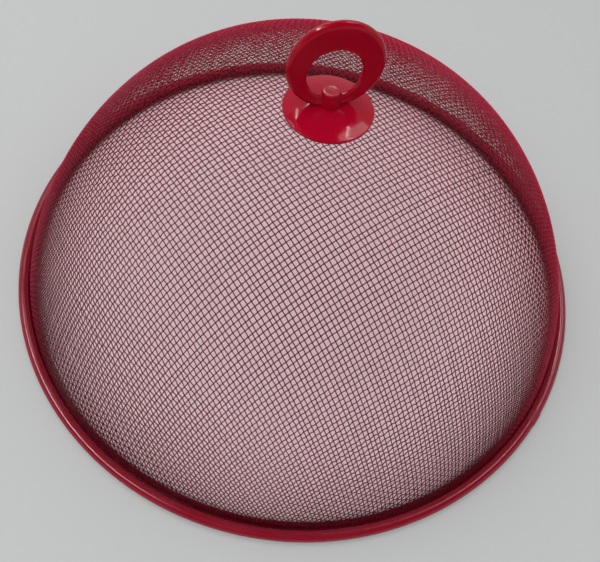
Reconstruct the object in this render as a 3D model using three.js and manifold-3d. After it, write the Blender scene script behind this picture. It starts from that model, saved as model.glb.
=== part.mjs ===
// A round mesh food cover: a domed wire mesh in a rolled rim, lifted by a ring handle.
// Millimetres, +Z up. The origin is the centre of the circle that the rim stands on.
// The ring handle lies in the XZ plane.

import * as THREE from 'three';
import { mergeVertices } from 'three/addons/utils/BufferGeometryUtils.js';
import Module from 'manifold-3d';

const wasm = await Module();
wasm.setup();

// Clearances
const fitClearance = 0.3;
const hemClearance = 1;
const cutOverrun = 4;

// Rim: a strip folded under the mesh's edge and rolled into a bead outside it
const rimRadius = 150;
const beadRadius = 2.5;
const stripSheet = 0.6;
const hemHeight = 1.2;
const hemLean = 0.2;
const beadEndAngle = 205;
const seamAzimuth = -49.4;
const seamGap = 0.4;
const joinerLength = 7;
const joinerSheet = 0.3;
const joinerStartAngle = -25;
const joinerEndAngle = 150;
const coreWireRadius = 1.2;
const rimSteps = 72;

// Mesh: a short upright wall, set in from the bead, then a dome that follows a superellipse
const wallInset = 1;
const wallHeight = 2.5;
const domeRise = 103.9;
const domeOutPower = 2.72;
const domeUpPower = 1.18;
const meshThickness = 1.1;

// Net of the mesh: wires along U and along V, turned about Z from the handle's plane
const netTurn = 24;
const netPitchU = 17;
const netPitchV = 20;
const netBarWidth = 1.8;

// Handle: a flat ring with an eccentric finger hole, on a tapered boss and a domed flange
const flangeRadius = 18.5;
const flangeLip = 1.2;
const flangeHeight = 3.8;
const flangeWall = 1.1;
const flangeSeatRadius = 4.8;
const bossFootRadius = 4.4;
const bossTopRadius = 3.7;
const bossHeight = 6;
const bossBoreDepth = 4.7;
const ringRadius = 18.8;
const ringThickness = 3.6;
const ringEdgeRound = 1.1;
const ringSink = 1.6;
const ringTopBand = 11.5;
const ringFootBand = 4.7;

// Fastening under the mesh
const screwRadius = 1.7;
const screwReach = 4;
const screwHeadRadius = 3.6;
const screwHeadHeight = 2.3;
const screwHeadRound = 0.9;
const backingRadius = 14;
const backingSheet = 1;
const backingRound = 0.35;

// Finishes
const redEnamel = { color: 0x6e0818, roughness: 0.32, metalness: 0 };
const redMesh = { color: 0x7c0a1c, roughness: 0.45, metalness: 0 };
const redPlastic = { color: 0x9c0518, roughness: 0.18, metalness: 0 };
const bareWire = { color: 0x8d8f92, roughness: 0.5, metalness: 1 };
const zincPlate = { color: 0xb9bcc0, roughness: 0.35, metalness: 1 };

const quarterTurn = Math.PI / 2;
const apexHeight = wallHeight + domeRise;
const meshTop = apexHeight + meshThickness / 2;
const beadCentreRadius = rimRadius - beadRadius;
const wallRadius = rimRadius - 2 * beadRadius - wallInset;
const hemOuterRadius = wallRadius - meshThickness / 2 - hemClearance;
const hemInnerRadius = hemOuterRadius - stripSheet;
const ringCentreHeight = ringRadius - ringSink;
const fingerHoleRadius = ringRadius - (ringTopBand + ringFootBand) / 2;
const fingerHoleDrop = (ringTopBand - ringFootBand) / 2;

function finish(name, geometry, look) {
  const mesh = new THREE.Mesh(geometry, new THREE.MeshStandardMaterial(look));
  mesh.name = name;
  return mesh;
}

function toSolid(geometry) {
  const bare = geometry.index ? geometry.toNonIndexed() : geometry.clone();
  bare.deleteAttribute('normal');
  bare.deleteAttribute('uv');
  const merged = mergeVertices(bare);
  return new wasm.Manifold(new wasm.Mesh({
    numProp: 3,
    vertProperties: Float32Array.from(merged.attributes.position.array),
    triVerts: Uint32Array.from(merged.index.array),
  }));
}

function toGeometry(solid) {
  const mesh = solid.getMesh();
  const geometry = new THREE.BufferGeometry();
  geometry.setAttribute('position', new THREE.BufferAttribute(mesh.vertProperties, mesh.numProp));
  geometry.setIndex(new THREE.BufferAttribute(mesh.triVerts, 1));
  geometry.computeVertexNormals();
  return geometry;
}

// Points on an arc in a section, from one angle to another, both in degrees.
function arcPoints(centreX, centreY, radius, fromAngle, toAngle, steps) {
  const points = [];
  for (let i = 0; i <= steps; i += 1) {
    const angle = THREE.MathUtils.degToRad(fromAngle + (toAngle - fromAngle) * i / steps);
    points.push(new THREE.Vector2(centreX + radius * Math.cos(angle), centreY + radius * Math.sin(angle)));
  }
  return points;
}

// A lathed solid about Z. The profile holds (radius, height) points and closes on itself or the axis.
function lathe(profile, steps) {
  const geometry = new THREE.LatheGeometry(profile, steps);
  geometry.rotateX(quarterTurn);
  return geometry;
}

// A section swept about Z through a list of azimuths in degrees, with both ends capped.
// The section's points run anticlockwise, seen with the radius to the right and Z up.
function sweepSection(section, azimuths) {
  const positions = [];
  for (const azimuth of azimuths) {
    const angle = THREE.MathUtils.degToRad(azimuth);
    for (const point of section) {
      positions.push(point.x * Math.cos(angle), point.x * Math.sin(angle), point.y);
    }
  }
  const indices = [];
  const count = section.length;
  const last = (azimuths.length - 1) * count;
  for (let step = 0; step + 1 < azimuths.length; step += 1) {
    for (let k = 0; k < count; k += 1) {
      const a = step * count + k;
      const b = step * count + (k + 1) % count;
      indices.push(a, a + count, b, b, a + count, b + count);
    }
  }
  for (const [a, b, c] of THREE.ShapeUtils.triangulateShape(section, [])) {
    indices.push(a, b, c);
    indices.push(last + a, last + c, last + b);
  }
  const geometry = new THREE.BufferGeometry();
  geometry.setAttribute('position', new THREE.Float32BufferAttribute(positions, 3));
  geometry.setIndex(indices);
  geometry.computeVertexNormals();
  return geometry;
}

// Azimuths once round the rim from one side of the seam to the other, with steps on the axes.
function azimuthsRoundRim() {
  const halfGap = THREE.MathUtils.radToDeg(seamGap / 2 / rimRadius);
  const first = seamAzimuth + halfGap;
  const last = seamAzimuth + 360 - halfGap;
  const step = 360 / rimSteps;
  const azimuths = [first];
  for (let k = Math.floor(first / step) + 1; k * step < last; k += 1) {
    azimuths.push(k * step);
  }
  azimuths.push(last);
  return azimuths;
}

// The strip's section: inner hem, flat foot, and a bead that rolls up, over and back down.
function rimStrip() {
  const outerRoll = arcPoints(beadCentreRadius, beadRadius, beadRadius, -90, beadEndAngle, 10);
  const innerRoll = arcPoints(beadCentreRadius, beadRadius, beadRadius - stripSheet, beadEndAngle, -90, 8);
  const section = [
    new THREE.Vector2(hemInnerRadius - hemLean, hemHeight),
    new THREE.Vector2(hemInnerRadius, stripSheet),
    new THREE.Vector2(hemInnerRadius + stripSheet, 0),
    ...outerRoll,
    ...innerRoll,
    new THREE.Vector2(hemOuterRadius, stripSheet),
    new THREE.Vector2(hemOuterRadius - hemLean, hemHeight),
  ];
  return finish('rim_strip', sweepSection(section, azimuthsRoundRim()), redEnamel);
}

// A short saddle pressed over the bead where the strip's two ends meet.
function rimJoiner() {
  const inside = beadRadius + fitClearance;
  const section = [
    ...arcPoints(beadCentreRadius, beadRadius, inside + joinerSheet, joinerStartAngle, joinerEndAngle, 8),
    ...arcPoints(beadCentreRadius, beadRadius, inside, joinerEndAngle, joinerStartAngle, 8),
  ];
  const halfSpan = THREE.MathUtils.radToDeg(joinerLength / 2 / rimRadius);
  const azimuths = [seamAzimuth - halfSpan, seamAzimuth, seamAzimuth + halfSpan];
  return finish('rim_joiner', sweepSection(section, azimuths), redEnamel);
}

// The round wire that the bead is rolled over. It lies in the bottom of the roll.
function rimCoreWire() {
  const geometry = new THREE.TorusGeometry(beadCentreRadius, coreWireRadius, 8, rimSteps);
  geometry.translate(0, 0, stripSheet + fitClearance + coreWireRadius);
  return finish('rim_core_wire', geometry, bareWire);
}

// Height of the dome's middle surface at a radius.
function domeHeightAt(radius) {
  const out = (radius / wallRadius) ** domeOutPower;
  return wallHeight + domeRise * Math.max(0, 1 - out) ** (1 / domeUpPower);
}

// How far a point is outside the mesh's middle surface (zero on it), and the slope of that value.
function surfaceValue(point) {
  const radius = Math.hypot(point.x, point.y);
  const rise = Math.max(0, point.z - wallHeight);
  const out = (radius / wallRadius) ** domeOutPower;
  const up = (rise / domeRise) ** domeUpPower;
  const slopeOut = domeOutPower * out / Math.max(radius * radius, Number.EPSILON);
  const slopeUp = rise > 0 ? domeUpPower * up / rise : 0;
  return {
    value: out + up - 1,
    slope: new THREE.Vector3(point.x * slopeOut, point.y * slopeOut, slopeUp),
  };
}

function surfaceNormal(point) {
  return surfaceValue(point).slope.normalize();
}

// Points down a meridian of the dome at equal steps of length, in the direction of a unit vector.
function meridianPoints(direction, spacing, count) {
  const fine = 400;
  const points = [direction.clone().multiplyScalar(0).setZ(apexHeight)];
  let travelled = 0;
  let before = new THREE.Vector2(0, apexHeight);
  for (let k = 1; points.length <= count; k += 1) {
    const now = new THREE.Vector2();
    if (k <= fine) {
      const turn = quarterTurn * k / fine;
      now.x = wallRadius * Math.sin(turn) ** (2 / domeOutPower);
      now.y = wallHeight + domeRise * Math.cos(turn) ** (2 / domeUpPower);
    } else {
      now.set(wallRadius, wallHeight - (k - fine) * domeRise / fine);
    }
    travelled += now.distanceTo(before);
    if (travelled >= points.length * spacing) {
      points.push(direction.clone().multiplyScalar(now.x).setZ(now.y));
    }
    before = now;
  }
  return points;
}

// The point of the surface at set distances from two known points, found by Newton's method.
function meetingPoint(first, firstDistance, second, secondDistance, guess) {
  const point = guess.clone();
  for (let turn = 0; turn < 12; turn += 1) {
    const toFirst = point.clone().sub(first);
    const toSecond = point.clone().sub(second);
    const surface = surfaceValue(point);
    const matrix = new THREE.Matrix3().set(
      2 * toFirst.x, 2 * toFirst.y, 2 * toFirst.z,
      2 * toSecond.x, 2 * toSecond.y, 2 * toSecond.z,
      surface.slope.x, surface.slope.y, surface.slope.z,
    );
    const miss = new THREE.Vector3(
      toFirst.lengthSq() - firstDistance ** 2,
      toSecond.lengthSq() - secondDistance ** 2,
      surface.value,
    );
    point.sub(miss.applyMatrix3(matrix.invert()));
  }
  return point;
}

// The mesh is cut flat and keeps its wire lengths when it is drawn into a dome, so its square
// gaps lean into diamonds between the two wire directions. One quarter is marched out from the
// apex in half pitches, and the other three mirror it.
function quarterOfNet() {
  const lowest = -netPitchU - netPitchV;
  const count = Math.ceil(3 * rimRadius / Math.min(netPitchU, netPitchV));
  const alongU = meridianPoints(new THREE.Vector3(1, 0, 0), netPitchU / 2, count);
  const alongV = meridianPoints(new THREE.Vector3(0, 1, 0), netPitchV / 2, count);
  const quarter = alongU.map((point) => [point.z > lowest ? point : undefined]);
  quarter[0] = alongV.map((point) => (point.z > lowest ? point : undefined));
  for (let i = 1; i <= count; i += 1) {
    for (let j = 1; j <= count; j += 1) {
      const left = quarter[i - 1][j];
      const below = quarter[i][j - 1];
      const corner = quarter[i - 1][j - 1];
      if (left && below && Math.max(left.z, below.z) > lowest) {
        const guess = left.clone().add(below).sub(corner);
        quarter[i][j] = meetingPoint(left, netPitchU / 2, below, netPitchV / 2, guess);
      }
    }
  }
  return quarter;
}

function netPoint(quarter, i, j) {
  const point = quarter[Math.abs(i)]?.[Math.abs(j)];
  return point && new THREE.Vector3(point.x * (Math.sign(i) || 1), point.y * (Math.sign(j) || 1), point.z);
}

// A crossing of two wires: eight corners, and the neighbours that its wires run to.
function netCrossing(quarter, i, j) {
  const centre = netPoint(quarter, i, j);
  const sides = [netPoint(quarter, i - 1, j), netPoint(quarter, i + 1, j),
    netPoint(quarter, i, j - 1), netPoint(quarter, i, j + 1)];
  if (!centre || sides.some((side) => !side)) {
    return undefined;
  }
  const alongU = sides[1].clone().sub(sides[0]).normalize();
  const alongV = sides[3].clone().sub(sides[2]).normalize();
  const reach = netBarWidth / 2 / alongU.clone().cross(alongV).length();
  const normal = surfaceNormal(centre);
  const corner = (signU, signV, signOut) => centre.clone()
    .addScaledVector(alongU, signU * reach)
    .addScaledVector(alongV, signV * reach)
    .addScaledVector(normal, signOut * meshThickness / 2);
  return { i, j, centre, corner };
}

// The net as one closed body: a block at each crossing and a bar to each neighbour.
function netGeometry() {
  const quarter = quarterOfNet();
  const reach = quarter.length - 1 + quarter.length % 2;
  const crossings = new Map();
  for (let i = -reach; i <= reach; i += 2) {
    for (let j = -reach; j <= reach; j += 2) {
      const crossing = netCrossing(quarter, i, j);
      if (crossing && crossing.centre.z > -Math.max(netPitchU, netPitchV)) {
        crossings.set(`${i},${j}`, crossing);
      }
    }
  }
  const positions = [];
  const quad = (a, b, c, d) => {
    for (const point of [a, b, c, a, c, d]) {
      positions.push(point.x, point.y, point.z);
    }
  };
  const sides = [
    { step: [2, 0], from: [1, -1], to: [1, 1] },
    { step: [0, 2], from: [1, 1], to: [-1, 1] },
    { step: [-2, 0], from: [-1, 1], to: [-1, -1] },
    { step: [0, -2], from: [-1, -1], to: [1, -1] },
  ];
  for (const { i, j, corner } of crossings.values()) {
    quad(corner(-1, -1, 1), corner(1, -1, 1), corner(1, 1, 1), corner(-1, 1, 1));
    quad(corner(-1, 1, -1), corner(1, 1, -1), corner(1, -1, -1), corner(-1, -1, -1));
    for (const { step, from, to } of sides) {
      const other = crossings.get(`${i + step[0]},${j + step[1]}`);
      const [fromTop, toTop] = [corner(...from, 1), corner(...to, 1)];
      const [fromLow, toLow] = [corner(...from, -1), corner(...to, -1)];
      if (!other) {
        quad(fromTop, fromLow, toLow, toTop);
      } else if (step[0] + step[1] > 0) {
        const mirror = ([u, v]) => (step[0] ? [-u, v] : [u, -v]);
        const [farFromTop, farToTop] = [other.corner(...mirror(from), 1), other.corner(...mirror(to), 1)];
        const [farFromLow, farToLow] = [other.corner(...mirror(from), -1), other.corner(...mirror(to), -1)];
        quad(fromTop, farFromTop, farToTop, toTop);
        quad(toLow, farToLow, farFromLow, fromLow);
        quad(fromLow, farFromLow, farFromTop, fromTop);
        quad(toTop, farToTop, farToLow, toLow);
      }
    }
  }
  const geometry = new THREE.BufferGeometry();
  geometry.setAttribute('position', new THREE.Float32BufferAttribute(positions, 3));
  return geometry;
}

// The mesh, with its wires cut off level just above the rim's foot.
function meshDome() {
  const edge = stripSheet + fitClearance;
  const span = 2 * (rimRadius + cutOverrun);
  const height = meshTop + cutOverrun - edge;
  const above = new THREE.BoxGeometry(span, span, height);
  above.translate(0, 0, edge + height / 2);
  const dome = finish('mesh_dome', toGeometry(toSolid(netGeometry()).intersect(toSolid(above))), redMesh);
  dome.rotation.z = THREE.MathUtils.degToRad(netTurn);
  return dome;
}

// A shallow dome round a level seat for the boss. It has a thin lip, and it is hollow below
// between the lip and a column on the axis.
function handleFlange() {
  const boreRadius = screwRadius + fitClearance;
  const hollowRadius = flangeRadius - 2 * flangeWall;
  // The middle and the radius of the ball that passes through the seat's edge and the lip.
  const drop = flangeHeight - flangeLip;
  const ballHeight = (flangeHeight + flangeLip - (flangeRadius ** 2 - flangeSeatRadius ** 2) / drop) / 2;
  const ballRadius = Math.hypot(flangeSeatRadius, flangeHeight - ballHeight);
  const domeArc = (radius, from, to) => {
    const angleAt = (reach) => THREE.MathUtils.radToDeg(Math.acos(reach / radius));
    return arcPoints(0, ballHeight, radius, angleAt(from), angleAt(to), 6);
  };
  const profile = [
    new THREE.Vector2(boreRadius, 0),
    new THREE.Vector2(boreRadius, flangeHeight),
    ...domeArc(ballRadius, flangeSeatRadius, flangeRadius),
    new THREE.Vector2(flangeRadius, flangeLip / 3),
    new THREE.Vector2(flangeRadius - flangeLip / 3, 0),
    new THREE.Vector2(hollowRadius, 0),
    ...domeArc(ballRadius - flangeWall, hollowRadius, flangeSeatRadius),
    new THREE.Vector2(flangeSeatRadius, 0),
    new THREE.Vector2(boreRadius, 0),
  ];
  return finish('handle_flange', lathe(profile.reverse(), 40), redPlastic);
}

// The ring stands on its boss, and the boss is bored from below for the screw.
function handleRing() {
  const outline = new THREE.Shape();
  outline.absarc(0, 0, ringRadius - ringEdgeRound, 0, 4 * quarterTurn, false);
  const hole = new THREE.Path();
  hole.absarc(0, -fingerHoleDrop, fingerHoleRadius + ringEdgeRound, 0, 4 * quarterTurn, true);
  outline.holes.push(hole);
  const plate = new THREE.ExtrudeGeometry(outline, {
    depth: ringThickness - 2 * ringEdgeRound,
    bevelThickness: ringEdgeRound,
    bevelSize: ringEdgeRound,
    bevelSegments: 2,
    curveSegments: 32,
  });
  plate.translate(0, 0, ringEdgeRound - ringThickness / 2);
  plate.rotateX(quarterTurn);
  plate.translate(0, 0, ringCentreHeight);

  const bossRound = bossTopRadius / 4;
  const boss = lathe([
    new THREE.Vector2(0, 0),
    new THREE.Vector2(bossFootRadius, 0),
    new THREE.Vector2(bossTopRadius, bossHeight - bossRound),
    new THREE.Vector2(bossTopRadius - bossRound, bossHeight),
    new THREE.Vector2(0, bossHeight),
  ], 24);
  const boreRadius = screwRadius + fitClearance;
  const bore = lathe([
    new THREE.Vector2(0, -cutOverrun),
    new THREE.Vector2(boreRadius, -cutOverrun),
    new THREE.Vector2(boreRadius, bossBoreDepth - boreRadius),
    new THREE.Vector2(0, bossBoreDepth),
  ], 20);
  const belowFoot = new THREE.BoxGeometry(2 * ringRadius, 2 * ringRadius, ringRadius);
  belowFoot.translate(0, 0, -ringRadius / 2);

  const solid = toSolid(plate).add(toSolid(boss)).subtract(toSolid(bore)).subtract(toSolid(belowFoot));
  return finish('handle_ring', toGeometry(solid), redPlastic);
}

function backingWasher() {
  const boreRadius = screwRadius + fitClearance;
  const profile = [
    new THREE.Vector2(boreRadius, 0),
    new THREE.Vector2(backingRadius - backingRound, 0),
    new THREE.Vector2(backingRadius, backingRound),
    new THREE.Vector2(backingRadius, backingSheet - backingRound),
    new THREE.Vector2(backingRadius - backingRound, backingSheet),
    new THREE.Vector2(boreRadius, backingSheet),
    new THREE.Vector2(boreRadius, 0),
  ];
  return finish('backing_washer', lathe(profile, 32), zincPlate);
}

// A pan-head screw, head down. Its height is counted from the underside of the backing washer.
function handleScrew(length) {
  const profile = [
    new THREE.Vector2(0, -screwHeadHeight),
    new THREE.Vector2(screwHeadRadius - screwHeadRound, -screwHeadHeight),
    new THREE.Vector2(screwHeadRadius, screwHeadRound - screwHeadHeight),
    new THREE.Vector2(screwHeadRadius, 0),
    new THREE.Vector2(screwRadius, 0),
    new THREE.Vector2(screwRadius, length - screwRadius),
    new THREE.Vector2(0, length),
  ];
  return finish('handle_screw', lathe(profile, 24), zincPlate);
}

// The handle's stack on the axis, from the screw's head up to the ring.
function handleStack() {
  const flangeFoot = meshTop + fitClearance;
  const bossFoot = flangeFoot + flangeHeight + fitClearance;
  const backingTop = domeHeightAt(backingRadius) - meshThickness / 2 - fitClearance;
  const backingFoot = backingTop - backingSheet;
  const screwSeat = backingFoot - fitClearance;

  const stack = new THREE.Group();
  const screw = handleScrew(bossFoot + screwReach - screwSeat);
  const pieces = [[screw, screwSeat], [backingWasher(), backingFoot],
    [handleFlange(), flangeFoot], [handleRing(), bossFoot]];
  for (const [piece, height] of pieces) {
    piece.position.z = height;
    stack.add(piece);
  }
  return stack;
}

function rim() {
  const group = new THREE.Group();
  group.add(rimStrip(), rimJoiner(), rimCoreWire());
  return group;
}

const foodCover = new THREE.Group();
foodCover.add(rim(), meshDome(), handleStack());

export default foodCover;
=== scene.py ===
"""A round food cover of red coated wire mesh, dressed for its picture.

The cover stands rim down on a plain pale floor. A cloth of round wires is drawn into a dome, a
sheet strip is folded under the cloth's edge and rolled into a bead, and a moulded ring on a domed
flange is screwed through the top. Lengths are in millimetres until a mesh is finished, and the
finished meshes are in metres.
"""

import logging
import math
from dataclasses import dataclass
from enum import Enum

import bpy
import numpy as np
from mathutils import Matrix, Vector


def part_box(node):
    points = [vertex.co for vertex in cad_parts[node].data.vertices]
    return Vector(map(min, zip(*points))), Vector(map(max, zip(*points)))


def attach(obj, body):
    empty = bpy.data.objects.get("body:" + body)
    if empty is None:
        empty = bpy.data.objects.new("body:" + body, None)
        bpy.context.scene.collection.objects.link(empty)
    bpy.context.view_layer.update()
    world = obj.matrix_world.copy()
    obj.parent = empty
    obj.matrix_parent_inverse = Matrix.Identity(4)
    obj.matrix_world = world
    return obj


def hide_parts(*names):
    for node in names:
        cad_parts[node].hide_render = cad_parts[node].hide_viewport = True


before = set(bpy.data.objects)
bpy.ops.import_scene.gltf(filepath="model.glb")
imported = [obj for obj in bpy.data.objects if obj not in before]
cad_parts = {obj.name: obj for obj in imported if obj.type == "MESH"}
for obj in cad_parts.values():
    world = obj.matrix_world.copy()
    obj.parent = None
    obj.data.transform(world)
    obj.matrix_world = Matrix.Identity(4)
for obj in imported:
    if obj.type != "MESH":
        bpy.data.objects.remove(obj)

# A millimetre in metres, and how near the axis, in millimetres, a turned section comes.
MM = 0.001
AXIS = 0.02
# Most of a noise texture's values lie between these.
NOISE_SPAN = {"From Min": 0.3, "From Max": 0.7}
LOG = logging.getLogger("food_cover")


class Slot(Enum):
    """The record's material slots."""

    COATED_MESH = "red_coated_mesh"
    COATED_SHEET = "red_coated_sheet"
    STEEL_WIRE = "steel_wire"
    PLASTIC = "red_plastic"
    ZINC = "zinc_steel"


class Reach(Enum):
    """What a lamp lights: matt surfaces, or only the gloss of shiny ones."""

    FILL = "diffuse"
    GLINT = "glossy"


class Family(Enum):
    """The two directions of the cloth's wires. The value is the sign of the weave at the apex."""

    WEFT = 1
    WARP = -1


# Colour and nodes


def linear(colour: str) -> tuple[float, float, float, float]:
    """Turns an sRGB colour to linear.

    Args:
        colour: Six hex digits after a hash, such as "#a00820".

    Returns:
        Red, green, blue and an alpha of 1, as a shader's socket takes them.
    """
    parts = [int(colour[k:k + 2], 16) / 255 for k in (1, 3, 5)]
    red, green, blue = (p / 12.92 if p <= 0.04045 else ((p + 0.055) / 1.055) ** 2.4 for p in parts)
    return red, green, blue, 1.0


def repeats(size: float) -> float:
    """Returns the scale, per metre, of a texture whose features are size millimetres across."""
    return 1 / (size * MM)


def add_node(tree: bpy.types.NodeTree, kind: str, settings: dict | None = None,
             links: dict | None = None) -> bpy.types.Node:
    """Adds a node with its settings and links.

    Args:
        tree: The node tree that gets the node.
        kind: The node's type, such as "ShaderNodeTexNoise".
        settings: Values by the name or number of an input, or by the name of a property.
        links: Output sockets by the name or number of the input that they feed.

    Returns:
        The new node.
    """
    node = tree.nodes.new(kind)
    for key, value in (settings or {}).items():
        if isinstance(key, int) or key in node.inputs:
            node.inputs[key].default_value = value
        else:
            setattr(node, key, value)
    for key, socket in (links or {}).items():
        tree.links.new(socket, node.inputs[key])
    return node


def new_material(name: str) -> tuple[bpy.types.Material, bpy.types.NodeTree, bpy.types.NodeSocket]:
    """Makes an empty node material.

    Args:
        name: The material's name.

    Returns:
        The material, its node tree, and the object's own coordinates in metres.
    """
    material = bpy.data.materials.new(name)
    material.use_nodes = True
    tree = material.node_tree
    tree.nodes.clear()
    spot = add_node(tree, "ShaderNodeTexCoord").outputs["Object"]
    return material, tree, spot


def finish_tree(tree: bpy.types.NodeTree, settings: dict, links: dict) -> None:
    """Ends a material in one Principled shader.

    Args:
        tree: The material's node tree.
        settings: Values of the shader's own sockets.
        links: Sockets that feed it.
    """
    shader = add_node(tree, "ShaderNodeBsdfPrincipled", settings, links)
    add_node(tree, "ShaderNodeOutputMaterial", links={"Surface": shader.outputs["BSDF"]})


# Finishes


@dataclass(frozen=True)
class StovedEnamel:
    """Red enamel sprayed on sheet steel and stoved.

    The eye sees a deep crimson with a soft gloss, a faint orange peel, and paint that is thinner
    and so a little lighter in places. A few specks of dust are caught in the coat.
    """

    name: str = "stoved_enamel_on_strip"
    thick_coat: str = "#7a0a1e"
    thin_coat: str = "#8c0f28"
    drift_size: float = 18.0
    peel_size: float = 1.4
    peel_height: float = 0.012
    nib_spacing: float = 7.0
    nib_share: float = 0.06
    nib_height: float = 0.03
    ior: float = 1.52
    gloss_level: float = 0.28
    least_roughness: float = 0.13
    most_roughness: float = 0.22

    def build(self) -> bpy.types.Material:
        """Builds the node material.

        Returns:
            The material.
        """
        material, tree, spot = new_material(self.name)
        drift = add_node(tree, "ShaderNodeTexNoise",
                         {"Scale": repeats(self.drift_size), "Detail": 3.0}, {"Vector": spot})
        colour = add_node(tree, "ShaderNodeMix",
                          {"data_type": "RGBA", 6: linear(self.thick_coat), 7: linear(self.thin_coat)},
                          {0: drift.outputs["Fac"]})
        peel = add_node(tree, "ShaderNodeTexNoise", {"Scale": repeats(self.peel_size), "Detail": 2.0},
                        {"Vector": spot})
        gloss = add_node(tree, "ShaderNodeMapRange",
                         {**NOISE_SPAN, "To Min": self.least_roughness,
                          "To Max": self.most_roughness}, {"Value": drift.outputs["Fac"]})
        nib = add_node(tree, "ShaderNodeTexVoronoi", {"Scale": repeats(self.nib_spacing)},
                       {"Vector": spot})
        speck = add_node(tree, "ShaderNodeMapRange",
                        {"interpolation_type": "SMOOTHSTEP", "From Max": self.nib_share,
                         "To Min": 1.0, "To Max": 0.0}, {"Value": nib.outputs["Distance"]})
        waves = add_node(tree, "ShaderNodeBump", {"Distance": self.peel_height * MM},
                         {"Height": peel.outputs["Fac"]})
        nibs = add_node(tree, "ShaderNodeBump", {"Distance": self.nib_height * MM},
                        {"Height": speck.outputs["Result"], "Normal": waves.outputs["Normal"]})
        finish_tree(tree, {"IOR": self.ior, "Specular IOR Level": self.gloss_level},
                    {"Base Color": colour.outputs[2], "Roughness": gloss.outputs["Result"],
                     "Normal": nibs.outputs["Normal"]})
        return material


@dataclass(frozen=True)
class DippedWire:
    """Red enamel on fine steel wire, dipped after weaving.

    The wires are drawn near maroon on the side that faces the camera, and crimson on the far side.
    The maroon is painted shade: a gradient along a direction fixed to the cover, which was chosen
    to match the photograph and points within 3 degrees of the camera from the middle of the dome.
    Why they differ isn't known. It is drawn as a coat that thins towards one side, which was
    chosen to match the photograph and points within 3 degrees of that camera from the middle of
    the dome. The same colour at both ends of the gradient evens it out.

    The coat also gathers in beads along each wire, which break up its gloss. The real beads are
    under 1 mm long and are drawn a little longer to show.
    """

    name: str = "dipped_enamel_on_wire"
    # Here thin_coat holds painted shade: the darker colour on the side that faces the camera.
    thin_coat: str = "#5c0618"
    unshaded_coat: str = "#cc1a46"
    bead_shade: str = "#c4c4c4"
    bead_size: float = 1.6
    bead_height: float = 0.03
    painted_shade_direction: tuple[float, float, float] = (-0.24, -0.6, 0.76)
    shade_start_level: float = 10.0
    shade_end_level: float = 75.0
    ior: float = 1.52
    gloss_level: float = 0.08
    least_roughness: float = 0.3
    most_roughness: float = 0.5

    def build(self) -> bpy.types.Material:
        """Builds the node material.

        Returns:
            The material.
        """
        material, tree, spot = new_material(self.name)
        # Painted shade: the wires darken towards the side that faces the camera.
        along = add_node(tree, "ShaderNodeVectorMath",
                         {"operation": "DOT_PRODUCT", 1: self.painted_shade_direction}, {0: spot})
        painted_shade_mask = add_node(tree, "ShaderNodeMapRange",
                           {"interpolation_type": "SMOOTHSTEP", "From Min": self.shade_start_level * MM,
                            "From Max": self.shade_end_level * MM}, {"Value": along.outputs["Value"]})
        coat = add_node(tree, "ShaderNodeMix",
                        {"data_type": "RGBA", 6: linear(self.unshaded_coat), 7: linear(self.thin_coat)},
                        {0: painted_shade_mask.outputs["Result"]})
        beads = add_node(tree, "ShaderNodeTexNoise", {"Scale": repeats(self.bead_size), "Detail": 2.0},
                         {"Vector": spot})
        share = add_node(tree, "ShaderNodeMapRange", NOISE_SPAN, {"Value": beads.outputs["Fac"]})
        colour = add_node(tree, "ShaderNodeMix",
                          {"data_type": "RGBA", "blend_type": "MULTIPLY", 7: linear(self.bead_shade)},
                          {0: share.outputs["Result"], 6: coat.outputs[2]})
        gloss = add_node(tree, "ShaderNodeMapRange",
                         {"To Min": self.least_roughness, "To Max": self.most_roughness},
                         {"Value": beads.outputs["Fac"]})
        bump = add_node(tree, "ShaderNodeBump", {"Distance": self.bead_height * MM},
                        {"Height": beads.outputs["Fac"]})
        finish_tree(tree, {"IOR": self.ior, "Specular IOR Level": self.gloss_level},
                    {"Base Color": colour.outputs[2], "Roughness": gloss.outputs["Result"],
                     "Normal": bump.outputs["Normal"]})
        return material


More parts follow.
